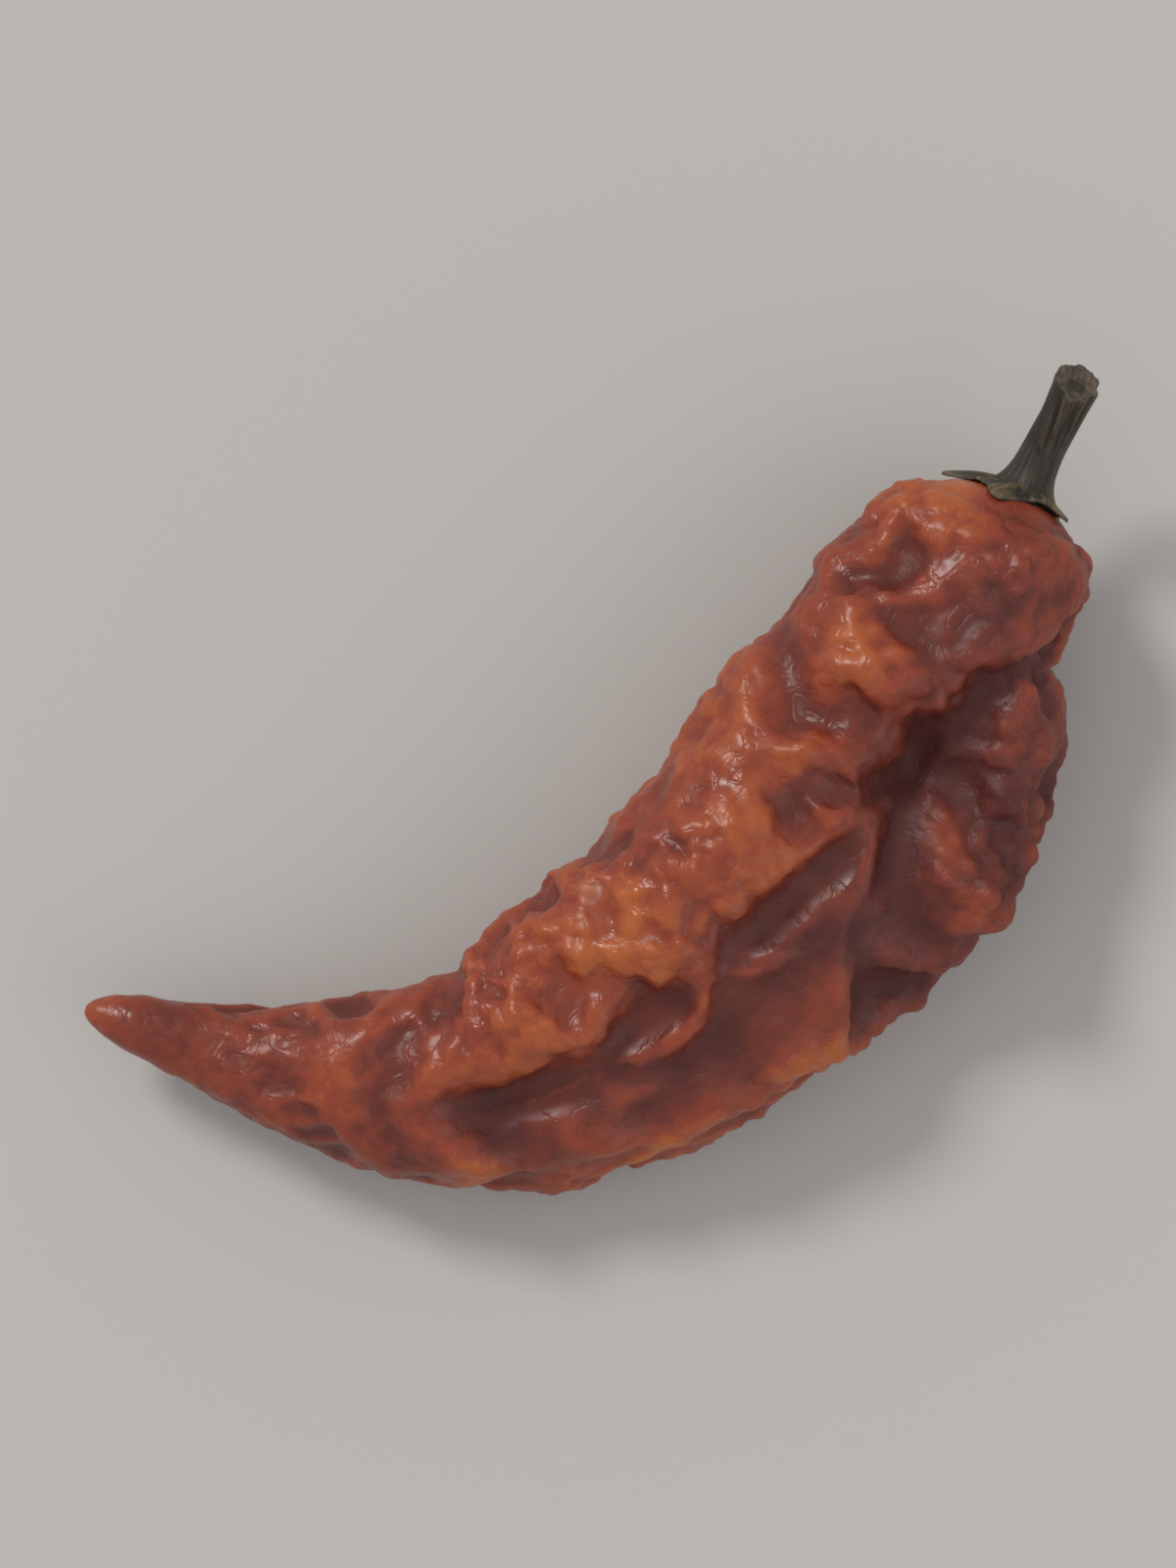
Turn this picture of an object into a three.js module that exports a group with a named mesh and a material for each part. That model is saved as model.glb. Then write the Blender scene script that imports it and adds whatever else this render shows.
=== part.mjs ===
// A dried chilli pepper of the short, crumpled kind, lying on its side as it would on a table.
// It is three pieces: the pod, the calyx that caps its shoulder, and the stem that grew out of
// the calyx. Millimetres, +Z up. The stem points to +X and the hooked tip to -X. The origin is
// under the middle of the whole pepper, on the surface that it lies on.

import * as THREE from "three";

// Driving dimensions.
const LENGTH = 53.5; // from the middle of the shoulder to the tip, along X
const WIDTH = 20; // of the body, across Y
const HEIGHT = 13.4; // of the body, before the table presses it flat
const PRESSED = 0.8; // how far up the table has pressed the lowest skin flat
const STEM_LENGTH = 6.2;
const STEM_RADIUS = 0.9;
const STEM_LEAN = new THREE.Vector3(0.66, 0.42, 0.62); // from its foot to its cut end
const CALYX_RADIUS = 3.0; // to the notches between its teeth
const CALYX_TOOTH = 0.9; // how far a tooth reaches past the notches
const CALYX_THICKNESS = 0.7; // in the middle
const CALYX_THINNING = 0.6; // share of the thickness that is lost by the rim
const STEM_FLARE = 0.6; // how much wider it is at its foot, as a share of its radius
const STEM_SWELLING = 0.1; // the same, at its cut end
const GAP = 0.35; // between two pieces that touch

// The pod's stations, from shoulder to tip. "at" is the middle of the section, as shares of
// LENGTH along -X, WIDTH along Y and HEIGHT along Z. "girth" is the half-width towards the
// hollow side and towards the round side, as shares of WIDTH, then half the thickness, as a
// share of HEIGHT.
const STATIONS = [
  { at: [0.0, -0.03, 0.57], girth: [0.315, 0.22, 0.36] },
  { at: [0.082, -0.18, 0.53], girth: [0.38, 0.25, 0.43] },
  { at: [0.187, -0.35, 0.49], girth: [0.465, 0.385, 0.48] },
  { at: [0.308, -0.475, 0.48], girth: [0.455, 0.44, 0.51] },
  { at: [0.439, -0.545, 0.46], girth: [0.41, 0.43, 0.49] },
  { at: [0.579, -0.59, 0.41], girth: [0.345, 0.36, 0.43] },
  { at: [0.72, -0.54, 0.35], girth: [0.265, 0.25, 0.35] },
  { at: [0.85, -0.28, 0.33], girth: [0.165, 0.15, 0.23] },
  { at: [0.985, 0.14, 0.43], girth: [0.045, 0.04, 0.07] },
];

// Folds where the skin has sunk in as it dried, each along a route of [along, across] shares.
// A "top" fold marks only the upper face, an "under" fold only the lower one, and a "round"
// fold goes all the way round. Depth and width are in millimetres.
const FOLDS = [
  // The neck under the knob.
  {
    side: "round",
    depth: 1.6,
    width: 1.7,
    route: [[0.23, 0.1], [0.26, -0.2], [0.2, -0.45], [0.075, -0.46]],
  },
  // The pit below the neck, and the crease from it to the round side.
  { side: "top", depth: 4.6, width: 2.5, route: [[0.19, -0.49], [0.215, -0.44]] },
  { side: "top", depth: 1.7, width: 1.8, route: [[0.22, -0.55], [0.3, -0.78], [0.35, -0.95]] },
  // The step along the body, and the hollow beside it.
  {
    side: "top",
    depth: 1.9,
    width: 1.7,
    route: [[0.3, -0.38], [0.41, -0.58], [0.51, -0.62], [0.64, -0.6], [0.74, -0.5]],
  },
  { side: "top", depth: 2.0, width: 3.0, route: [[0.42, -0.76], [0.53, -0.79], [0.66, -0.7]] },
  // A dimple in the knob.
  { side: "top", depth: 0.9, width: 1.3, route: [[0.12, -0.1], [0.14, -0.13]] },
  // The hollow underneath.
  {
    side: "under",
    depth: 2.4,
    width: 3.2,
    route: [[0.18, -0.35], [0.4, -0.52], [0.6, -0.6], [0.76, -0.45]],
  },
];

const SHOULDER = 0.085; // share of the stations' run in which the pod opens from its pole
const TIP = 0.03; // the same, where it closes
const SQUARENESS = 2.3; // exponent of the sections' superellipse, where 2 is an ellipse
const FACE_EDGE = [-0.1, 0.35]; // how far up or down the section a one-sided fold fades in
const POD_ROWS = 84;
const POD_COLUMNS = 56;
const CALYX_ROWS = 16;
const CALYX_COLUMNS = 40;
const STEM_ROWS = 24;
const STEM_COLUMNS = 20;
const CLOSING_ROWS = 0.1; // share of the rows that make the round shoulder
const TIP_ROWS = 0.05; // the same, for the tip
const STEM_END_ROWS = 0.12; // the same, for each end of the stem
const TEETH = 5;
const TOOTH_POINT = 4; // exponent that narrows a tooth to a point

const place = ([along, across, up]) =>
  new THREE.Vector3(-LENGTH * along, WIDTH * across, HEIGHT * up);
const size = ([hollow, round, thick]) =>
  new THREE.Vector3(WIDTH * hollow, WIDTH * round, HEIGHT * thick);
const smooth = (points) =>
  new THREE.CatmullRomCurve3(points, false, "catmullrom", 0.5);
const spine = smooth(STATIONS.map((station) => place(station.at)));
const girth = smooth(STATIONS.map((station) => size(station.girth)));
const folds = FOLDS.map((fold) => ({
  ...fold,
  route: fold.route.map(([along, across]) => place([along, across, 0])),
}));

// A closed surface over a grid of rows and columns: the first and last rows shrink to a point.
// pointAt(share of the rows, share of a turn) gives each point.
function closedSurface(rows, columns, pointAt) {
  const points = [pointAt(0, 0)];
  for (let row = 1; row < rows; row++)
    for (let column = 0; column < columns; column++)
      points.push(pointAt(row / rows, column / columns));
  points.push(pointAt(1, 0));
  const last = points.length - 1;
  const at = (row, column) => 1 + (row - 1) * columns + (column % columns);
  const faces = [];
  for (let column = 0; column < columns; column++) {
    faces.push(0, at(1, column + 1), at(1, column));
    for (let row = 1; row < rows - 1; row++) {
      const [a, b] = [at(row, column), at(row, column + 1)];
      const [c, d] = [at(row + 1, column), at(row + 1, column + 1)];
      faces.push(a, b, d, a, d, c);
    }
    faces.push(last, at(rows - 1, column), at(rows - 1, column + 1));
  }
  const geometry = new THREE.BufferGeometry().setFromPoints(points);
  geometry.setIndex(faces);
  geometry.computeVertexNormals();
  return geometry;
}

// How far a point is from a route, both seen from above.
function distanceTo(route, point) {
  const flat = new THREE.Vector3(point.x, point.y, 0);
  const nearest = new THREE.Vector3();
  const distances = route.slice(1).map((end, i) => {
    new THREE.Line3(route[i], end).closestPointToPoint(flat, true, nearest);
    return nearest.distanceTo(flat);
  });
  return Math.min(...distances);
}

// The pod: a superellipse carried along the spine, round at the shoulder and sharp at the tip,
// sunk in along the folds, and flat where it rests on the table.
function openingAt(u) {
  if (u < SHOULDER) return Math.sqrt(1 - (1 - u / SHOULDER) ** 2);
  if (u > 1 - TIP) return Math.sqrt(Math.max(0, 1 - ((u - 1 + TIP) / TIP) ** 2));
  return 1;
}

function podPoint(u, turn) {
  const middle = spine.getPoint(u);
  const along = spine.getTangent(u);
  const side = new THREE.Vector3(along.y, -along.x, 0).normalize();
  const [hollow, round, thick] = girth.getPoint(u).toArray();
  const [cos, sin] = [Math.cos(2 * Math.PI * turn), -Math.sin(2 * Math.PI * turn)];
  const reach =
    openingAt(u) *
    (Math.abs(cos) ** SQUARENESS + Math.abs(sin) ** SQUARENESS) ** (-1 / SQUARENESS);
  const outward = side.multiplyScalar((cos > 0 ? hollow : round) * cos * reach);
  outward.z += thick * sin * reach;
  const point = middle.clone().add(outward);
  const share = {
    round: 1,
    top: THREE.MathUtils.smoothstep(sin, ...FACE_EDGE),
    under: THREE.MathUtils.smoothstep(-sin, ...FACE_EDGE),
  };
  let sunk = 0;
  for (const fold of folds)
    sunk +=
      share[fold.side] *
      fold.depth *
      Math.exp(-((distanceTo(fold.route, point) / fold.width) ** 2));
  const kept = Math.exp(-sunk / Math.max(outward.length(), GAP));
  point.copy(middle).addScaledVector(outward, kept);
  point.z = Math.max(point.z, PRESSED);
  return point;
}

// Rows crowd together where the pod opens and closes, so that its ends are round.
function podRow(share) {
  const left = 1 - share;
  if (share < CLOSING_ROWS)
    return SHOULDER * (1 - Math.cos((Math.PI / 2) * (share / CLOSING_ROWS)));
  if (left < TIP_ROWS) return 1 - TIP + TIP * Math.cos((Math.PI / 2) * (left / TIP_ROWS));
  return THREE.MathUtils.mapLinear(share, CLOSING_ROWS, 1 - TIP_ROWS, SHOULDER, 1 - TIP);
}

const podSurface = closedSurface(POD_ROWS, POD_COLUMNS, (row, turn) =>
  podPoint(podRow(row), turn),
);

// The calyx: a thin cap that follows the pod's shoulder, with five short points on its rim. The
// surface runs from the middle of its top out to the rim and back underneath.
const outward = spine.getTangent(0).negate().normalize();

function calyxPoint(row, turn) {
  const under = row > 0.5;
  const share = under ? 2 - 2 * row : 2 * row;
  const tooth = Math.cos(Math.PI * TEETH * turn) ** TOOTH_POINT;
  const reach = share * (CALYX_RADIUS + CALYX_TOOTH * tooth);
  const half = WIDTH * STATIONS[0].girth[0];
  const u = SHOULDER * (1 - Math.sqrt(1 - (reach / half) ** 2));
  const lift = GAP + (under ? 0 : CALYX_THICKNESS * (1 - CALYX_THINNING * share ** 3));
  return podPoint(u, turn).addScaledVector(outward, lift);
}

const calyxSurface = closedSurface(CALYX_ROWS, CALYX_COLUMNS, calyxPoint);

// The stem: a round stalk that flares where it leaves the calyx, bends a little upwards, and
// ends in a slightly swollen cut.
const stemStart = podPoint(0, 0).addScaledVector(outward, 2 * GAP + CALYX_THICKNESS);
const stemEnd = stemStart
  .clone()
  .addScaledVector(STEM_LEAN.normalize(), STEM_LENGTH);
const stemLine = new THREE.QuadraticBezierCurve3(
  stemStart,
  stemStart.clone().addScaledVector(outward, 0.4 * STEM_LENGTH),
  stemEnd,
);

function stemPoint(row, turn) {
  const ends = STEM_END_ROWS;
  const along = THREE.MathUtils.clamp((row - ends) / (1 - 2 * ends), 0, 1);
  const flare = STEM_FLARE * Math.exp(-3 * along) + STEM_SWELLING * along ** 4;
  const closing = Math.min(1, row / ends, (1 - row) / ends);
  const radius = STEM_RADIUS * (1 + flare) * closing;
  const forward = stemLine.getTangent(along);
  const side = new THREE.Vector3(0, 0, 1).cross(forward).normalize();
  const over = forward.clone().cross(side);
  const angle = 2 * Math.PI * turn;
  return stemLine
    .getPoint(along)
    .addScaledVector(side, radius * Math.cos(angle))
    .addScaledVector(over, radius * Math.sin(angle));
}

const stemSurface = closedSurface(STEM_ROWS, STEM_COLUMNS, stemPoint);

// Assembly, moved so that the origin is under the middle of the whole pepper.
const pepper = new THREE.Group();
const skin = new THREE.MeshStandardMaterial({ color: 0x8a3318, roughness: 0.5, metalness: 0 });
const cap = new THREE.MeshStandardMaterial({ color: 0x3d3524, roughness: 0.8, metalness: 0 });
const stalk = new THREE.MeshStandardMaterial({ color: 0x34342a, roughness: 0.75, metalness: 0 });

for (const [name, surface, material] of [
  ["pod", podSurface, skin],
  ["calyx", calyxSurface, cap],
  ["stem", stemSurface, stalk],
]) {
  const mesh = new THREE.Mesh(surface, material);
  mesh.name = name;
  pepper.add(mesh);
}

const middle = new THREE.Box3().setFromObject(pepper).getCenter(new THREE.Vector3());
for (const mesh of pepper.children) mesh.position.set(-middle.x, -middle.y, -PRESSED);

export default pepper;
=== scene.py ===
"""A dried chilli pepper: a crumpled pod, its calyx and its cut stem, lying on a pale table."""

import math

import bpy
import numpy as np
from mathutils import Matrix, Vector


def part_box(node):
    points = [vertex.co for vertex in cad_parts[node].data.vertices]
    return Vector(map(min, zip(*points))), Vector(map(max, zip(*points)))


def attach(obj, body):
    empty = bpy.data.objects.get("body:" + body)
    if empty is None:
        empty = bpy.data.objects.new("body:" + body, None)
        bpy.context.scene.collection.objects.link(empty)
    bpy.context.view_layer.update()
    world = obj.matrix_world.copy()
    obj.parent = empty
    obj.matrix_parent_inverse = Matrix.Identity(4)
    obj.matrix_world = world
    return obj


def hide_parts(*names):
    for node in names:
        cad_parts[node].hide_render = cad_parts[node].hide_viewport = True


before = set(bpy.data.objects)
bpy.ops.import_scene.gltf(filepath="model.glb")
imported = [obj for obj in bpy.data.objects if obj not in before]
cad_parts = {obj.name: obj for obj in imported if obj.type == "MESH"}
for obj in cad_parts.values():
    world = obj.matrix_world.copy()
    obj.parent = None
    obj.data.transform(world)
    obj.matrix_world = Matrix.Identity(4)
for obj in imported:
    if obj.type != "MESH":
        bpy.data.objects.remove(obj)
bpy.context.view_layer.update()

# ---------------------------------------------------------------------------------------------
# The pod: the fruit itself, one leathery skin. It grew plump, and sank into folds as it dried.
# Here too it is a plump body first, then a skin that settles on it, with pimples added last. The
# table presses its underside flat. Lengths are in millimetres up to the finished meshes.

LENGTH = 53.5  # from the middle of the shoulder to the tip
WIDTH = 20.0  # of the body
HEIGHT = 13.4  # of the body, before the table presses it flat
PRESSED = 0.8  # how far up the table has pressed the lowest skin
SHOULDER = 0.085  # share of the run in which the pod opens from its pole
TIP = 0.03  # the same, where it closes
SQUARENESS = 2.3  # exponent of the sections' superellipse
DRIED_GIRTH = 0.94  # share of the girth that the body keeps in the middle as it dries
SWAY = 1.2  # how far the large folds wander to either side of their routes
SWAY_SIZE = 4.0  # over what length they wander
THINNEST = 0.35  # radius below which a fold draws the body in no further

# Stations from shoulder to tip: the middle of the section as shares of LENGTH, WIDTH and HEIGHT,
# then its reach towards the inside of the bend, the outside, and up and down.
STATIONS = np.array(
    [
        [0.0, -0.03, 0.57, 0.315, 0.22, 0.36],
        [0.082, -0.18, 0.53, 0.38, 0.25, 0.43],
        [0.187, -0.35, 0.49, 0.465, 0.385, 0.48],
        [0.308, -0.475, 0.48, 0.455, 0.44, 0.51],
        [0.439, -0.545, 0.46, 0.41, 0.43, 0.49],
        [0.579, -0.59, 0.41, 0.345, 0.36, 0.43],
        [0.72, -0.54, 0.35, 0.265, 0.25, 0.35],
        [0.85, -0.28, 0.33, 0.165, 0.15, 0.23],
        [0.985, 0.14, 0.43, 0.045, 0.04, 0.07],
    ]
)
CENTRES = STATIONS[:, :3] * [-LENGTH, WIDTH, HEIGHT]
REACHES = STATIONS[:, 3:] * [WIDTH, WIDTH, HEIGHT]

# The large folds: whether they run all round or mark one face, how deep and how wide they are,
# and a route of shares of LENGTH and WIDTH. A negative depth is a crest.
FOLDS = [
    ("round", 1.1, 1.8, [[0.23, 0.1], [0.26, -0.2], [0.2, -0.45], [0.075, -0.46]]),  # neck
    ("top", 3.2, 2.9, [[0.19, -0.56], [0.215, -0.47]]),  # pit below the neck
    ("top", 1.7, 1.7, [[0.22, -0.55], [0.3, -0.78], [0.35, -0.95]]),  # pit to the outside
    ("top", -0.9, 2.0, [[0.17, -0.76], [0.22, -0.82]]),  # lobe beside the pit
    # the step between the crest and the hollow
    ("top", 0.45, 1.6, [[0.3, -0.38], [0.41, -0.58], [0.51, -0.62], [0.64, -0.62], [0.72, -0.58]]),
    # the hollow
    ("top", 1.7, 3.2, [[0.3, -0.6], [0.39, -0.73], [0.5, -0.8], [0.62, -0.78], [0.7, -0.7]]),
    # the crest
    ("top", -0.8, 3.2, [[0.24, -0.05], [0.36, -0.23], [0.5, -0.34], [0.64, -0.36], [0.8, -0.3]]),
    ("top", -0.5, 1.3, [[0.42, -0.92], [0.53, -0.94], [0.65, -0.88], [0.76, -0.72]]),  # rim
    ("top", 0.5, 1.5, [[0.13, 0.0], [0.145, -0.03]]),  # dimple in the knob
    ("top", -0.6, 1.7, [[0.22, 0.0], [0.24, -0.2], [0.22, -0.32]]),  # fills the neck's near end
    ("under", 2.4, 3.2, [[0.18, -0.35], [0.4, -0.52], [0.6, -0.6], [0.76, -0.45]]),  # long fold
]

# Where the upper skin stayed smoother: how much smoother, a width and a route. The hollow stands
# apart, because it has the fewest pimples too.
SMOOTH_HOLLOW = [
    (1.0, 4.4, [[0.34, -0.66], [0.43, -0.79], [0.56, -0.83], [0.68, -0.75]]),
]
SMOOTH = [
    (0.9, 5.0, [[0.06, -0.05], [0.12, -0.15]]),  # the knob
    (0.6, 2.5, [[0.19, -0.5], [0.22, -0.5]]),  # the pit
    (0.7, 3.0, [[0.24, 0.0], [0.35, -0.15], [0.5, -0.25]]),  # inside of the bend
    (0.4, 2.5, [[0.77, -0.5], [0.86, -0.22]]),  # the tail
]

# Where the skin is warmer and cooler in colour, and where light and shade are painted on it: an
# amount, a width and a route. The pit, the hollow, part of the knob's purple, the foot of the step
# and the brightest place are painted light and shade.
TINTS_AND_PAINTED_LIGHT = [
    (1.3, 2.2, [[0.05, 0.07], [0.1, 0.06]]),  # the knob, where it is orange
    (-0.9, 3.0, [[0.05, -0.24], [0.13, -0.3]]),  # and where it is purple, partly painted shade on its side away from the light
    (0.45, 3.2, [[0.22, -0.05], [0.36, -0.24], [0.5, -0.34], [0.66, -0.38]]),  # the crest
    (1.1, 2.0, [[0.53, -0.4], [0.57, -0.44]]),  # its brightest place: orange, and a painted highlight
    (1.2, 1.3, [[0.42, -0.93], [0.53, -0.95], [0.65, -0.89], [0.76, -0.73]]),  # the rim
    (-0.9, 3.0, [[0.19, -0.5], [0.22, -0.46]]),  # the pit, darkened as painted shade under the neck
    (-1.3, 4.0, [[0.14, -0.62], [0.24, -0.8], [0.32, -0.88]]),  # the lobe beside it
    (0.5, 1.6, [[0.33, -0.48], [0.44, -0.62], [0.55, -0.67], [0.68, -0.62]]),  # foot of the step, lighter: painted light that lifts the shade in its groove
    # the hollow, darker brown: painted shade
    (-1.0, 2.3, [[0.38, -0.74], [0.46, -0.82], [0.56, -0.84], [0.66, -0.78], [0.72, -0.7]]),
    (0.15, 3.0, [[0.76, -0.42], [0.9, -0.08]]),  # the tail
]


def fade(value, start, end):
    """0 before start, 1 after end, and a smooth S between."""
    share = np.clip((value - start) / (end - start), 0, 1)
    return share * share * (3 - 2 * share)


def curve(points, share):
    """The Catmull-Rom curve through the points, at each share of its run from 0 to 1."""
    padded = np.vstack([2 * points[0] - points[1], points, 2 * points[-1] - points[-2]])
    place = np.clip(share, 0, 1) * (len(points) - 1)
    span = np.minimum(place.astype(int), len(points) - 2)
    t = (place - span)[..., None]
    before, start, end, after = (padded[span + k] for k in range(4))
    leave, arrive = (end - before) / 2, (after - start) / 2
    bend = 3 * (end - start) - 2 * leave - arrive
    twist = 2 * (start - end) + leave + arrive
    return start + leave * t + bend * t**2 + twist * t**3


def opening(share):
    """How far the pod has opened: a quarter ellipse from its pole, and another at its tip."""
    at_shoulder = np.sqrt(1 - np.clip(1 - share / SHOULDER, 0, 1) ** 2)
    at_tip = np.sqrt(1 - np.clip((share - 1 + TIP) / TIP, 0, 1) ** 2)
    return at_shoulder * at_tip


def distance_to(route, places):
    """The distance from each place to a route of straight lines, seen from above."""
    corners = np.array(route) * [-LENGTH, WIDTH]
    nearest = np.full(places.shape[:-1], np.inf)
    for start, end in zip(corners[:-1], corners[1:]):
        run = end - start
        share = np.clip((places[..., :2] - start) @ run / (run @ run), 0, 1)
        offset = places[..., :2] - start - share[..., None] * run
        nearest = np.minimum(nearest, np.linalg.norm(offset, axis=-1))
    return nearest


def random_shares(cell, seed):
    """Three numbers from 0 to 1 for each cell of a lattice, the same whenever they are asked:
    the cell's three numbers and the seed, multiplied by large primes and mixed bit by bit."""
    key = cell * [73856093, 19349663, 83492791]
    mixed = key[..., 0] ^ key[..., 1] ^ key[..., 2] ^ (seed * 2654435761)
    mixed = (mixed ^ (mixed >> 13)) * 1274126177
    mixed = mixed ^ (mixed >> 16)
    return np.stack([(mixed >> shift) & 1023 for shift in (0, 10, 20)], -1) / 1023


def lattice(places, size, seed):
    """The places in steps of size, moved along by the seed, and the cell that each is in."""
    scaled = places / size + 17.31 * seed
    return scaled, np.floor(scaled).astype(np.int64)


def noise(places, size, seed):
    """Smooth noise from about -1 to 1: random slopes on a lattice, blended between its points."""
    scaled, cell = lattice(places, size, seed)
    inside = scaled - cell
    blend = inside**3 * (inside * (inside * 6 - 15) + 10)
    total = np.zeros(places.shape[:-1])
    for corner in np.ndindex(2, 2, 2):
        share = random_shares(cell + corner, seed)
        angle, rise = share[..., 0] * 2 * np.pi, share[..., 1] * 2 - 1
        flat = np.sqrt(1 - rise**2)
        slope = np.stack([flat * np.cos(angle), flat * np.sin(angle), rise], -1)
        weight = np.prod(np.where(corner, blend, 1 - blend), -1)
        total += weight * np.sum(slope * (inside - corner), -1)
    return 1.6 * total


def pod_surface(along, turn, folds, girth=1.0):
    """The pod at shares along its spine and shares of a turn: a superellipse carried along the
    spine, each section level across, whose radius shrinks by exp(-depth / radius) where a fold
    runs. girth is the share of the girth that is left between the shoulder and the tail."""
    step = 1e-4  # for the spine's direction
    spine = curve(CENTRES, along)
    run = curve(CENTRES, along + step) - curve(CENTRES, along - step)
    side = np.stack([run[..., 1], -run[..., 0], np.zeros_like(along)], -1)
    side /= np.linalg.norm(side, axis=-1, keepdims=True)
    inside, outside, thick = np.moveaxis(curve(REACHES, along), -1, 0)
    cos, sin = np.cos(2 * np.pi * turn), -np.sin(2 * np.pi * turn)
    reach = (np.abs(cos) ** SQUARENESS + np.abs(sin) ** SQUARENESS) ** (-1 / SQUARENESS)
    between = fade(along, 0, 0.1) * (1 - fade(along, 0.55, 0.75))
    reach = reach * opening(along) * (1 - (1 - girth) * between)
    out = side * (np.where(cos > 0, inside, outside) * cos * reach)[..., None]
    out[..., 2] += thick * sin * reach
    places = spine + out
    on_face = {"round": 1.0, "top": fade(sin, -0.1, 0.35), "under": fade(-sin, -0.1, 0.35)}
    sway = [noise(places, SWAY_SIZE, 31), noise(places, SWAY_SIZE, 32), 0 * along]
    sunk = np.zeros_like(along)
    for face, depth, width, route in folds:
        away = distance_to(route, places + SWAY * np.stack(sway, -1)) / width
        sunk += on_face[face] * depth * np.exp(-(away**2))
    kept = np.exp(-sunk / np.maximum(np.linalg.norm(out, axis=-1), THINNEST))
    return spine + out * kept[..., None]


def grid_shares(rows, columns):
    """Shares along and around for a grid whose rows are the same distance apart on the skin."""
    share = np.linspace(0, 1, 2001)
    spine = curve(CENTRES, share)
    radius = curve(REACHES, share).mean(1) * opening(share)
    steps = np.hypot(np.linalg.norm(np.diff(spine, axis=0), axis=1), np.diff(radius))
    travelled = np.r_[0, np.cumsum(steps)]
    along = np.interp(np.linspace(0, travelled[-1], rows), travelled, share)
    return np.meshgrid(along, np.arange(columns) / columns, indexing="ij")


def lumps(places, size, seed):
    """The height, from 0 to 1, of round lumps scattered one to a cube of that size: the highest
    of reach * (1 - (gap / reach)^2), gap being the distance to each lump's middle."""
    scaled, cell = lattice(places, size, seed)
    height = np.zeros(places.shape[:-1])
    for corner in np.ndindex(3, 3, 3):
        near = cell + corner - 1
        share = random_shares(near, seed)
        gap = scaled - near - share
        reach = 0.45 + 0.4 * share[..., 2]
        cap = np.clip(1 - np.sum(gap**2, -1) / reach**2, 0, 1)
        height = np.maximum(height, cap * reach)
    return height


def outward(grid):
    """Unit normals of a grid whose columns close on themselves: its step around crossed with
    its step down."""
    down = np.gradient(grid, axis=0)
    around = np.roll(grid, -1, 1) - np.roll(grid, 1, 1)
    normal = np.cross(around, down)
    return normal / np.maximum(np.linalg.norm(normal, axis=-1, keepdims=True), 1e-9)


def finer(grid, rows, columns):
    """The grid resampled to more rows and columns, each way along Catmull-Rom curves."""
    last = len(grid) - 1
    row = np.linspace(0, last, rows)
    start = np.minimum(row.astype(int), last - 1)
    column = np.arange(columns) * grid.shape[1] / columns
    first = column.astype(int)

    def cubic(read, part):
        before, start_value, end_value, after = (read(k) for k in (-1, 0, 1, 2))
        twist = 3 * (start_value - end_value) + after - before
        bend = 2 * before - 5 * start_value + 4 * end_value - after + part * twist
        return start_value + part / 2 * (end_value - before + part * bend)

    tall = cubic(lambda k: grid[np.clip(start + k, 0, last)], (row - start)[:, None, None])
    past = (column - first)[None, :, None]
    return cubic(lambda k: tall[:, (first + k) % grid.shape[1]], past)


MOMENTUM = 0.9  # share of its speed that the settling skin keeps from step to step
RISE = 0.3  # share of its limit that it may move outwards


def settle(skin, body, excess, stiffness, hold, limit, steps):
    """Lets a skin with too much area settle into folds. Neighbours in the grid are pulled to the
    distance that they have on the body, times 1 + excess, and neighbours several steps apart
    keep it from creasing too sharply. hold draws each point back to the body, no point moves
    further than limit, or rises outwards by more than RISE of it, and the table stops it."""
    pairs = [(1, 0, 1.0), (0, 1, 1.0), (1, 1, 0.6), (1, -1, 0.6)]
    pairs += [(reach, 0, share) for reach, share in stiffness]
    pairs += [(0, reach, share) for reach, share in stiffness]
    total = 2 * sum(share for *_, share in pairs)
    tall, wide = 1 + excess[0], 1 + excess[1]

    def ends(grid, down, around):
        """Each point that has a partner, and its partner."""
        rows = len(grid) - down
        return grid[:rows], np.roll(grid, -around, 1)[down:]

    lengths = []
    for down, around, _ in pairs:
        near, far = ends(body, down, around)
        stretch = (tall * down + wide * abs(around)) / (down + abs(around))
        lengths.append(np.linalg.norm(far - near, axis=-1) * stretch[: len(near)])
    normal = outward(body)
    before = skin
    for _ in range(steps):
        skin, before = skin + MOMENTUM * (skin - before), skin
        pull = np.zeros_like(skin)
        for (down, around, share), length in zip(pairs, lengths):
            near, far = ends(skin, down, around)
            gap = far - near
            now = np.maximum(np.linalg.norm(gap, axis=-1), 1e-9)
            half = gap * (share * (now - length) / now / 2)[..., None]
            pull[: len(near)] += half
            pull[down:] -= np.roll(half, around, 1)
        skin = skin + pull * (2 / total)
        skin = skin + hold[..., None] * (body - skin)
        moved = skin - body
        risen = np.sum(moved * normal, -1) - RISE * limit
        moved -= normal * np.maximum(risen, 0)[..., None]
        far_moved = np.maximum(np.linalg.norm(moved, axis=-1), 1e-9)
        skin = body + moved * np.minimum(1, limit / far_moved)[..., None]
        skin[..., 2] = np.maximum(skin[..., 2], PRESSED)
        skin[0], skin[-1] = skin[0].mean(0), skin[-1].mean(0)
    return skin


def spread(marks, places):
    """The sum of the marks at each place: every amount fades out with distance from its route,
    and counts on the upper side only."""
    total = np.zeros(places.shape[:-1])
    for amount, width, route in marks:
        total += amount * np.exp(-((distance_to(route, places) / width) ** 2))
    return total * fade(places[..., 2], 3.0, 6.5)


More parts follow.
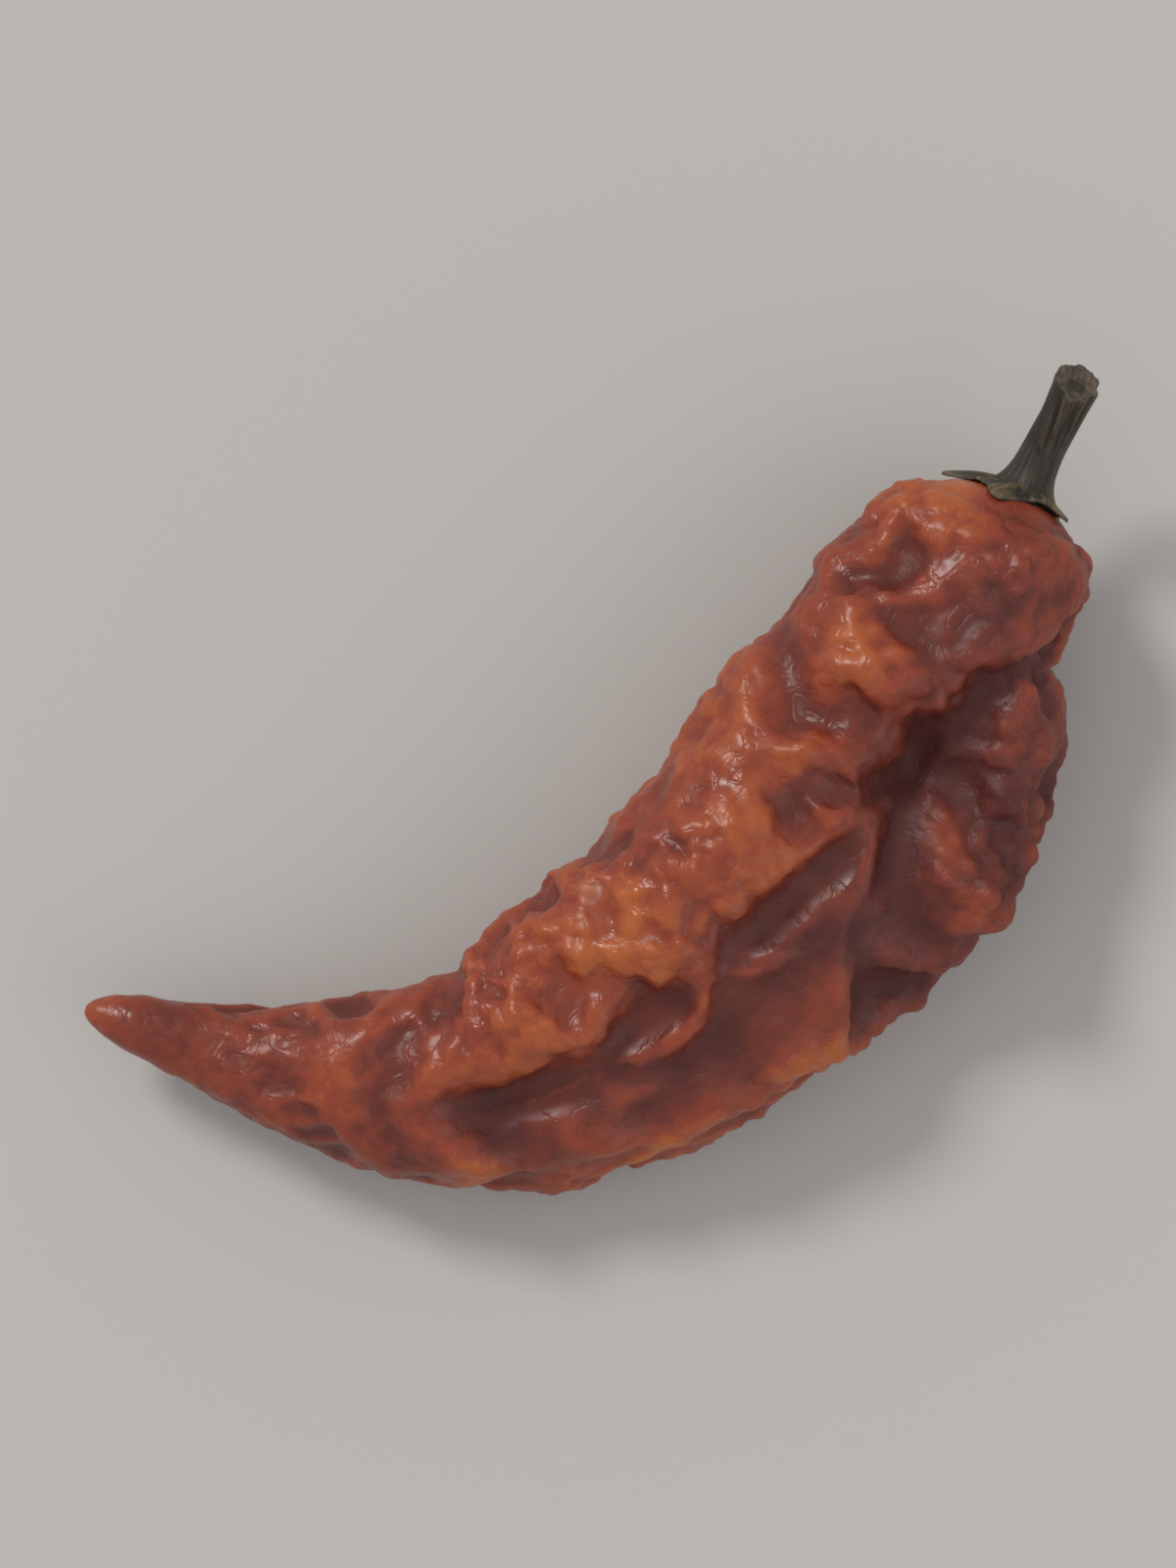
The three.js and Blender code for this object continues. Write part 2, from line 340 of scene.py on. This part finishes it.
# The grids that the skin settles on: rows, columns, the extra length along and around, the
# stiffness as (steps apart, share), a kick and its size, the furthest move, and the time steps.
GRIDS = [
    (44, 26, 0.015, 0.055, [(2, 0.6)], 1.4, 6.5, 1.7, 300),
    (84, 50, 0.03, 0.06, [(2, 0.5), (4, 0.2)], 0.6, 3.0, 1.0, 160),
    (160, 96, 0.03, 0.04, [(2, 0.6), (4, 0.4)], 0.4, 1.8, 0.6, 100),
    (384, 224, 0.03, 0.03, [(2, 0.6), (4, 0.5), (8, 0.2)], 0.1, 0.8, 0.4, 40),
]
IN_THIN_PLACES = 0.35  # the furthest move there, as a share of the pod's radius
UNDER_CALYX = (0.012, 0.03)  # shares along between which the skin comes free of the calyx
HELD = 0.9  # how firmly the calyx holds the skin under it
LOOSE = 0.004  # how firmly the flesh holds the rest


def crumpled_pod():
    """The dried skin, settled on coarse to fine grids: large folds first, then smaller ones.
    Each grid starts from the one before, kicked by noise, and has its extra area in patches."""
    skin = body = None
    for level, values in enumerate(GRIDS):
        rows, columns, tall, wide, stiffness, kick, size, furthest, steps = values
        along, turn = grid_shares(rows, columns)
        fuller = pod_surface(along, turn, FOLDS, DRIED_GIRTH)
        so_far = fuller if skin is None else fuller + finer(skin - body, rows, columns)
        body = fuller
        kicked = so_far + outward(so_far) * (kick * noise(body, size, level + 3))[..., None]
        radius = np.linalg.norm(body - body.mean(1, keepdims=True), axis=-1).mean(1)
        limit = np.minimum(furthest, IN_THIN_PLACES * radius)[:, None] + 1e-6
        # some patches have more extra area than others, and the tail and the smooth places less
        patchy = np.clip(1 + 1.6 * noise(body, 7.0, 25), 0.1, 2.4)
        patchy = patchy * (1 - 0.5 * fade(along, 0.7, 0.9))
        patchy = patchy * np.clip(1 - spread(SMOOTH_HOLLOW + SMOOTH, body), 0, 1)
        capped = 1 - fade(along, *UNDER_CALYX)
        hold = LOOSE + HELD * capped
        excess = (tall * patchy * (1 - capped), wide * patchy * (1 - capped))
        skin = settle(kicked, so_far, excess, stiffness, hold, limit, steps)
    return along, turn, skin


def relief(grid, reach):
    """How far each point stands out of the skin around it, along its normal: the grid less its
    own average over reach steps each way, taken three times."""
    blurred = grid
    for _ in range(3):
        around = sum(np.roll(blurred, k, 1) for k in range(-reach, reach + 1))
        around /= 2 * reach + 1
        padded = np.concatenate([around[:1]] * reach + [around] + [around[-1:]] * reach)
        blurred = sum(padded[k : k + len(grid)] for k in range(2 * reach + 1))
        blurred /= 2 * reach + 1
    return np.sum((grid - blurred) * outward(grid), -1)


def closed_mesh(name, grid, **values):
    """A mesh from a grid whose first and last rows are each one point and whose columns close on
    themselves. values are numbers on each point of the grid, kept as attributes."""
    rows, columns = grid.shape[:2]
    inner = grid[1:-1].reshape(-1, 3)
    points = np.vstack([grid[:1, 0], inner, grid[-1:, 0]])
    at = 1 + np.arange((rows - 2) * columns).reshape(rows - 2, columns)
    beside = np.roll(at, -1, 1)
    quads = np.stack([at[:-1], beside[:-1], beside[1:], at[1:]], -1).reshape(-1, 4)
    first = np.stack([np.zeros_like(at[0]), beside[0], at[0]], -1)
    last = np.stack([np.full_like(at[0], len(points) - 1), at[-1], beside[-1]], -1)
    mesh = bpy.data.meshes.new(name)
    mesh.from_pydata(points.tolist(), [], first.tolist() + quads.tolist() + last.tolist())
    for label, value in values.items():
        attribute = mesh.attributes.new(label, "FLOAT", "POINT")
        flat = np.concatenate([value[:1, 0], value[1:-1].ravel(), value[-1:, 0]])
        attribute.data.foreach_set("value", flat.astype(np.float32))
    mesh.shade_smooth()
    piece = bpy.data.objects.new(name, mesh)
    bpy.context.scene.collection.objects.link(piece)
    return piece


PIMPLES = [(0.64, 1.6, 41), (0.35, 0.95, 42)]  # height, spacing and seed: large ones, small ones
SINK = 0.4  # how far the skin sinks between the pimples


def pimpled(skin, along, ridge):
    """The skin with its pimples, each standing out along the skin's normal. They are highest on
    the ridges, in patches, and lower in the smooth places and towards the tail. Under the calyx,
    at the tip and on the table the skin stays where it is."""
    swelling = sum(height * lumps(skin, size, seed) for height, size, seed in PIMPLES)
    smoother = 0.85 * spread(SMOOTH_HOLLOW, skin) + 0.6 * spread(SMOOTH, skin)
    swelling *= fade(ridge, -0.6, 0.2) * np.clip(1 - smoother, 0, 1)
    swelling *= np.clip(0.85 + 0.7 * noise(skin, 5.0, 43), 0, 2)
    lower = 1 - 0.65 * fade(along, 0.6, 0.85)
    free = fade(along, *UNDER_CALYX) * (1 - fade(along, 0.92, 0.98))
    free *= fade(skin[..., 2], PRESSED + 0.02, PRESSED + 0.6)
    skin = skin + outward(skin) * ((swelling - SINK) * lower * free)[..., None]
    skin[..., 2] = np.maximum(skin[..., 2], PRESSED)
    skin[0], skin[-1] = skin[0].mean(0), skin[-1].mean(0)
    return skin


def place_in_frame(along, turn):
    """The move that puts the plump body in the middle of the frame's pod, and on the table."""
    low, high = (np.array(corner) * 1000 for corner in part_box("pod"))
    plump = pod_surface(along, turn, FOLDS)
    plump[..., 2] = np.maximum(plump[..., 2], PRESSED)
    move = (low + high - plump.min((0, 1)) - plump.max((0, 1))) / 2
    move[2] = -PRESSED
    return move


along, turn, skin = crumpled_pod()
ridge_wide = relief(skin, reach=9)
skin = pimpled(skin, along, ridge_wide)
ridge_fine = relief(skin, reach=3)
# the tints, with the painted shade and painted highlights among them, varied by noise
tint = spread(TINTS_AND_PAINTED_LIGHT, skin) * (1 + 1.2 * noise(skin, 3.1, 44))
# how far the skin sank below the plump body, which the finish uses for painted shade in the
# deepest folds
sunk = np.linalg.norm(pod_surface(along, turn, []) - skin, axis=-1)
shift = place_in_frame(along, turn)

pod = closed_mesh(
    "pod_skin_dried",
    (skin + shift) / 1000,
    ridge=np.tanh(ridge_wide / 0.5),
    grain=np.tanh(ridge_fine / 0.12),
    sunk=np.tanh(sunk / 4),
    tint=tint,
)
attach(pod, "root")
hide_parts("pod")


class Finish:
    """A finish and its node tree, with short ways to add a node and join it up."""

    def __init__(self, name):
        self.material = bpy.data.materials.new(name)
        self.material.use_nodes = True
        self.tree = self.material.node_tree
        self.shader = self.tree.nodes["Principled BSDF"]

    def add(self, kind, inputs, **settings):
        """A node of that kind. An input is a value, or another node's output."""
        node = self.tree.nodes.new(kind)
        for label, value in settings.items():
            setattr(node, label, value)
        for socket, value in inputs.items():
            self.join(value, node.inputs[socket])
        return node

    def join(self, value, socket):
        """Sets a socket to a value, or links another node's output to it."""
        if isinstance(value, bpy.types.NodeSocket):
            self.tree.links.new(value, socket)
        else:
            socket.default_value = value

    def attribute(self, name):
        """A number kept on the mesh."""
        return self.add("ShaderNodeAttribute", {}, attribute_name=name).outputs["Fac"]

    def place(self):
        """The point's own coordinates, in metres."""
        return self.add("ShaderNodeTexCoord", {}).outputs["Object"]

    def noise(self, size, detail, rough, warp=0.0):
        """Noise whose lumps are about size metres across."""
        inputs = {
            "Vector": self.place(),
            "Scale": 1 / size,
            "Detail": detail,
            "Roughness": rough,
            "Distortion": warp,
        }
        return self.add("ShaderNodeTexNoise", inputs).outputs["Fac"]

    def ramp(self, value, stops):
        """A colour for each value, blended between the stops."""
        node = self.add("ShaderNodeValToRGB", {"Fac": value})
        stripe = node.color_ramp
        while len(stripe.elements) < len(stops):
            stripe.elements.new(1.0)
        for element, (position, colour) in zip(stripe.elements, stops):
            element.position = position
            element.color = (*colour, 1.0)
        return node.outputs["Color"]

    def span(self, value, low, high, to_low, to_high):
        """The value carried from one range to another, and held within it."""
        inputs = {0: value, 1: low, 2: high, 3: to_low, 4: to_high}
        return self.add("ShaderNodeMapRange", inputs).outputs[0]

    def math(self, operation, a, b):
        """Two numbers added, multiplied and so on."""
        return self.add("ShaderNodeMath", {0: a, 1: b}, operation=operation).outputs[0]

    def total(self, first, *others):
        """The sum of several numbers."""
        for other in others:
            first = self.math("ADD", first, other)
        return first

    def mix(self, share, colour, other):
        """Two colours mixed by a share."""
        inputs = {0: share, 6: colour, 7: (*other, 1.0)}
        return self.add("ShaderNodeMix", inputs, data_type="RGBA").outputs[2]

    def bump(self, height, strength, depth):
        """A fine relief on the surface, up to depth metres deep."""
        inputs = {"Height": height, "Strength": strength, "Distance": depth}
        node = self.add("ShaderNodeBump", inputs)
        self.join(node.outputs["Normal"], self.shader.inputs["Normal"])


MAROON = (0.095, 0.018, 0.014)  # the dark end, reached in the folds through painted shade and in dark patches
BROWN_RED = (0.165, 0.031, 0.019)
ORANGE_RED = (0.31, 0.056, 0.024)
ORANGE = (0.47, 0.118, 0.030)  # on the highest lumps, through painted light
SHADE_PURPLE = (0.072, 0.016, 0.017)  # painted shade, mixed in where the skin sank deepest into its folds


def dried_skin():
    """Dried chilli skin with a waxy gloss, orange on the ridges and maroon in the folds. Its place
    between maroon and orange is a sum of how far it stands out and of its finer bumps, which paint
    light on what stands out and shade in the folds, of patches and specks, of the marked tints,
    some of which are painted shade or a painted highlight, and of painted shade along the fine
    creases.
    The deepest folds are mixed towards purple as painted shade. Folds and dark places are duller."""
    finish = Finish("dried chilli skin")
    ridge = finish.attribute("ridge")
    # painted light and shade: lighter where the skin stands out, darker in its folds, and the
    # finer bumps likewise
    ridge_light_fold_shade = finish.math("MULTIPLY", ridge, 0.16)
    from_grain = finish.math("MULTIPLY", finish.attribute("grain"), 0.14)
    patches = finish.span(finish.noise(0.006, 4.0, 0.6, 0.6), 0.3, 0.7, 0.26, 0.59)
    specks = finish.span(finish.noise(0.0011, 4.0, 0.7), 0.3, 0.7, -0.09, 0.09)
    tint = finish.math("MULTIPLY", finish.attribute("tint"), 0.22)

    # creases run where the noise crosses its middle value: 0 on the line, 1 beside it
    wrinkles = finish.noise(0.0014, 3.0, 0.5, 0.6)
    crease = finish.math("ABSOLUTE", finish.math("SUBTRACT", wrinkles, 0.5), 0.0)
    crease = finish.span(crease, 0.0, 0.06, 0.0, 1.0)
    # painted shade along each crease line
    crease_shade = finish.span(crease, 0.0, 0.5, -0.06, 0.0)

    level = finish.total(ridge_light_fold_shade, from_grain, patches, specks, tint, crease_shade)
    stops = [(0.05, MAROON), (0.35, BROWN_RED), (0.65, ORANGE_RED), (0.95, ORANGE)]
    # painted shade: where the skin sank deepest, the colour is mixed towards purple
    deep = finish.span(finish.attribute("sunk"), 0.6, 1.0, 0.0, 0.4)
    colour = finish.mix(deep, finish.ramp(level, stops), SHADE_PURPLE)

    waxy = finish.span(finish.noise(0.0022, 3.0, 0.6), 0.3, 0.7, 0.25, 0.42)
    dull_folds = finish.span(ridge, -0.9, 0.1, 0.2, 0.0)
    dull_darks = finish.span(tint, -0.2, 0.0, 0.15, 0.0)
    roughness = finish.total(waxy, dull_folds, dull_darks)

    shader = finish.shader
    finish.join(colour, shader.inputs["Base Color"])
    finish.join(roughness, shader.inputs["Roughness"])
    shader.inputs["Specular IOR Level"].default_value = 0.4
    shader.inputs["Subsurface Weight"].default_value = 0.12
    shader.inputs["Subsurface Radius"].default_value = (1.0, 0.3, 0.12)
    shader.inputs["Subsurface Scale"].default_value = 0.0012
    pores = finish.math("MULTIPLY", finish.noise(0.00035, 3.0, 0.65), 0.35)
    finish.bump(finish.math("ADD", pores, crease), 0.28, 0.00008)
    return finish.material


pod.data.materials.append(dried_skin())

# ---------------------------------------------------------------------------------------------
# The calyx: the dry remains of the flower's green cap, thin and papery, grown onto the shoulder.
# Five veins run out from the stem to five short points on its rim.

TEETH = 5  # the points, each with its vein
CALYX_RADIUS = 2.9  # to the notches between its points
CALYX_TOOTH = 1.1  # how far the points reach beyond them
CALYX_THICK = 0.55  # beside the stem
CALYX_THINNER = 0.42  # how much thinner it is at its rim
CALYX_VEIN = 0.18  # how far the veins stand up
CALYX_SUNK = 0.12  # how deep its underside is set into the skin
POLE = pod_surface(np.zeros(1), np.zeros(1), FOLDS)[0]
OUT_OF_POLE = CENTRES[0] - curve(CENTRES, np.full(1, 0.001))[0]
OUT_OF_POLE /= np.linalg.norm(OUT_OF_POLE)


def ring(turn, radius, rise):
    """Places on a ring, for noise that runs round it and changes slowly along it."""
    angle = 2 * np.pi * turn
    return np.stack([radius * np.cos(angle), radius * np.sin(angle), rise + 0 * turn], -1)


def calyx_surface(rows, columns):
    """The cap at rows from the middle of its top out to the rim and back underneath: it follows
    the pod's shoulder, lifted by its thickness, which falls from CALYX_THICK towards the rim, and
    by crumples and waves in its rim. Also how pale it is there."""
    row, turn = np.meshgrid(np.linspace(0, 1, rows), np.arange(columns) / columns, indexing="ij")
    under = row > 0.5
    share = np.where(under, 2 - 2 * row, 2 * row)  # of the way out to the rim
    rim = ring(turn, 3.0, 0)

    # five veins that sway a little, each ending in a point on a ragged rim
    swayed = turn + 0.012 * share * noise(ring(turn, 2.0, 0), 1.4, 50)
    vein = np.abs(np.cos(np.pi * TEETH * swayed))
    ragged = 0.07 * noise(rim, 1.1, 51) + 0.03 * noise(rim, 0.3, 55)
    reach = share * (CALYX_RADIUS * (1 + ragged) + CALYX_TOOTH * vein**6)
    shoulder_reach = WIDTH * STATIONS[0, 3]
    along = SHOULDER * (1 - np.sqrt(1 - (reach / shoulder_reach) ** 2))
    base = pod_surface(along, turn, FOLDS)

    # its thickness, with crumples that are strongest near half way, and a rim that lifts in waves
    crinkle = np.abs(noise(ring(turn, 3.0, share), 0.42, 52))
    crumple = 0.22 * noise(base, 1.3, 53) + 0.16 * crinkle
    thick = CALYX_THICK - CALYX_THINNER * share**1.5
    thick += CALYX_VEIN * fade(vein, 0.8, 1.0) * (1 - share)
    wave = share**2 * (0.25 + 0.35 * noise(rim, 1.6, 54))
    lift = np.where(under, 0, thick + crumple * share * (1.15 - share) * 2) + wave - CALYX_SUNK
    pale = crinkle * 1.5 + 0.5 * fade(vein, 0.9, 1.0)
    return base + OUT_OF_POLE * lift[..., None], pale


calyx_grid, calyx_pale = calyx_surface(rows=96, columns=300)
calyx = closed_mesh("calyx_dried", (calyx_grid + shift) / 1000, pale=np.tanh(calyx_pale))
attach(calyx, "root")
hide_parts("calyx")


def dry_green(name, dark, middle, pale, grain_size):
    """Dry plant stuff: dark grey-green, paler and browner along its fibres, nearly matt."""
    finish = Finish(name)
    streaks = finish.noise(grain_size, 4.0, 0.65, 0.4)
    broad = finish.span(finish.noise(0.0025, 2.0, 0.5), 0.3, 0.7, -0.15, 0.35)
    fine = finish.span(streaks, 0.35, 0.65, -0.15, 0.15)
    level = finish.total(broad, finish.attribute("pale"), fine)
    colour = finish.ramp(level, [(0.1, dark), (0.5, middle), (1.0, pale)])
    finish.join(colour, finish.shader.inputs["Base Color"])
    finish.join(finish.span(streaks, 0.3, 0.7, 0.48, 0.72), finish.shader.inputs["Roughness"])
    finish.bump(streaks, 0.4, 0.00006)
    return finish.material


CALYX_DARK = (0.026, 0.022, 0.014)
CALYX_GREEN = (0.065, 0.052, 0.03)
CALYX_PALE = (0.17, 0.125, 0.065)  # on the veins
CALYX_GRAIN = 0.0004  # metres across
dry_calyx = dry_green("dry calyx", CALYX_DARK, CALYX_GREEN, CALYX_PALE, CALYX_GRAIN)
calyx.data.materials.append(dry_calyx)

# ---------------------------------------------------------------------------------------------
# The stem: the short stalk that the pepper hung from. It is woody and furrowed along its
# length, flares where it grew out of the calyx, and was cut off square.

STEM_FOOT = 0.1  # how deep it starts under the calyx
STEM_RISE = 1.5  # straight out of the shoulder
STEM_LENGTH = 5.7  # then over to the side that it leans to
STEM_LEAN = np.array([0.66, 0.42, 0.62])
STEM_RADIUS = 0.92
FOOT_ROWS = 0.05  # share of the grid's rows that close its foot
CUT_ROWS = 0.86  # share of the rows at which the cut face starts


def stem_surface(rows, columns):
    """A furrowed section carried along a quadratic curve from the calyx to the cut end, its
    radius flaring by exponentials at its foot, closed by a slightly hollow cut face. Also how
    pale it is there."""
    row, turn = np.meshgrid(np.linspace(0, 1, rows), np.arange(columns) / columns, indexing="ij")
    foot = POLE - OUT_OF_POLE * STEM_FOOT
    lean = STEM_LEAN / np.linalg.norm(STEM_LEAN)
    end = foot + OUT_OF_POLE * STEM_RISE + lean * STEM_LENGTH
    bend = foot + OUT_OF_POLE * (STEM_RISE + 0.4 * STEM_LENGTH)
    share = np.clip((row - FOOT_ROWS) / (CUT_ROWS - FOOT_ROWS), 0, 1)  # of the way along

    # the line that it follows, its direction, and two directions across it
    line = (
        foot * ((1 - share) ** 2)[..., None]
        + bend * (2 * share * (1 - share))[..., None]
        + end * (share**2)[..., None]
    )
    run = (bend - foot) * (1 - share)[..., None] + (end - bend) * share[..., None]
    run /= np.linalg.norm(run, axis=-1, keepdims=True)
    side = np.cross([0, 0, 1.0], run)
    side /= np.linalg.norm(side, axis=-1, keepdims=True)
    over = np.cross(run, side)

    # furrows and fibres that twist a little, on a girth that is uneven and wide at both ends
    twisted = turn + 0.07 * share
    furrow = np.abs(noise(ring(twisted, 1.0, 0.9 * share), 0.62, 61))
    uneven = noise(ring(twisted, 1.0, 1.6 * share), 1.5, 62)
    fibre = noise(ring(twisted, 1.0, 0.5 * share), 0.13, 63)
    flare = 0.5 * np.exp(-4.5 * share) + 0.75 * np.exp(-15 * share) + 0.14 * share**7
    radius = STEM_RADIUS * (1 + flare)
    radius = radius * (0.93 + 0.30 * furrow + 0.12 * uneven + 0.025 * fibre)

    # the cut face: furrows fade out inwards past a rounded edge, and its rough middle is hollow
    closing = np.minimum(1, row / FOOT_ROWS)
    face = np.clip((row - CUT_ROWS) / (1 - CUT_ROWS), 0, 1)
    rounded = fade(face, 0.2, 0.7)
    radius = radius * (1 - rounded) + STEM_RADIUS * (1 + flare) * rounded
    edge = np.sqrt(1 - np.clip(face / 0.25, 0, 1) ** 2) * 0.12 + 0.88
    closing = closing * np.where(face > 0, edge * (1 - fade(face, 0.2, 1.0)), 1)
    sinks = 0.10 * np.clip(face / 0.2, 0, 1) - 0.25 * fade(face, 0.25, 0.6)
    sinks += 0.12 * noise(ring(turn, closing, 0), 0.5, 64) * fade(face, 0, 0.3)
    angle = 2 * np.pi * turn
    radial = side * np.cos(angle)[..., None] + over * np.sin(angle)[..., None]

    # pale along the ribs and fibres, and on the face around its darker middle
    on_side = 0.9 * furrow + 0.28 * fibre - 0.1
    on_face = 0.5 + 0.35 * noise(ring(turn, closing, 0), 0.22, 65) - 0.45 * fade(face, 0.5, 0.75)
    pale = on_side + (on_face - on_side) * fade(face, 0.1, 0.3)
    return line + radial * (radius * closing)[..., None] + run * sinks[..., None], pale


stem_grid, stem_pale = stem_surface(rows=170, columns=176)
stem = closed_mesh("stem_dried", (stem_grid + shift) / 1000, pale=stem_pale)
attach(stem, "root")
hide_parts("stem")

STEM_DARK = (0.03, 0.023, 0.016)
STEM_GREEN = (0.078, 0.057, 0.038)
STEM_PALE = (0.165, 0.122, 0.075)  # on the fibres and the cut face
STEM_GRAIN = 0.0003  # metres across
dry_stem = dry_green("dry stem", STEM_DARK, STEM_GREEN, STEM_PALE, STEM_GRAIN)
stem.data.materials.append(dry_stem)

# ---------------------------------------------------------------------------------------------
# The table, the light and the camera: a matt tabletop, soft light from the upper left, and a
# camera that looks straight down, turned so that the stem points up and to the right.

TURNED = math.radians(32.4)
TABLE_SIZE = 3  # metres, out past the edges of the view

bpy.ops.mesh.primitive_plane_add(size=TABLE_SIZE)
table = bpy.context.object
table.name = "table"
pale_table = Finish("pale table")
pale_table.shader.inputs["Base Color"].default_value = (0.56, 0.545, 0.52, 1.0)
pale_table.shader.inputs["Roughness"].default_value = 0.7
table.data.materials.append(pale_table.material)

view_right = np.array([math.cos(TURNED), -math.sin(TURNED), 0])
view_up = np.array([math.sin(TURNED), math.cos(TURNED), 0])
up = np.array([0, 0, 1.0])
seen = (np.concatenate([skin.reshape(-1, 3), stem_grid.reshape(-1, 3)]) + shift) / 1000
across, upwards, height = (seen @ axis for axis in (view_right, view_up, up))
middle = view_right * (across.min() + across.max()) / 2
middle += view_up * (upwards.min() + upwards.max()) / 2 + up * height.max() / 2
span = np.ptp(across)


def lamp(name, direction, width, strength, colour):
    """Soft light from far away in that direction, width degrees across, even over the table."""
    light = bpy.data.lights.new(name, "SUN")
    light.angle = math.radians(width)
    light.energy = strength
    light.color = colour
    holder = bpy.data.objects.new(name, light)
    bpy.context.scene.collection.objects.link(holder)
    holder.rotation_mode = "QUATERNION"
    holder.rotation_quaternion = Vector(direction).to_track_quat("Z", "Y")


from_left = -0.65 * view_right + 0.75 * view_up + 0.95 * up
from_right = 0.9 * view_right - 0.5 * view_up + 0.8 * up
lamp("key", from_left, width=15, strength=1.32, colour=(1, 0.97, 0.93))
lamp("fill", from_right, width=50, strength=0.35, colour=(0.93, 0.96, 1))

world = bpy.data.worlds.new("room")
world.use_nodes = True
background = world.node_tree.nodes["Background"]
background.inputs["Color"].default_value = (0.96, 0.96, 0.97, 1)
background.inputs["Strength"].default_value = 0.52
bpy.context.scene.world = world

FRAME_SHARE = 0.86  # of the view's width that the pepper fills
ASPECT = 4 / 3  # the view's height over its width
CAMERA_HEIGHT = 7 * span
camera_data = bpy.data.cameras.new("camera")
camera = bpy.data.objects.new("camera", camera_data)
bpy.context.scene.collection.objects.link(camera)
camera.location = middle + up * CAMERA_HEIGHT
camera.rotation_euler = (0, 0, -TURNED)
camera_data.lens = camera_data.sensor_width * CAMERA_HEIGHT * FRAME_SHARE / (span * ASPECT)
camera_data.clip_start = 0.01
bpy.context.scene.camera = camera
bpy.context.scene.view_settings.view_transform = "Standard"
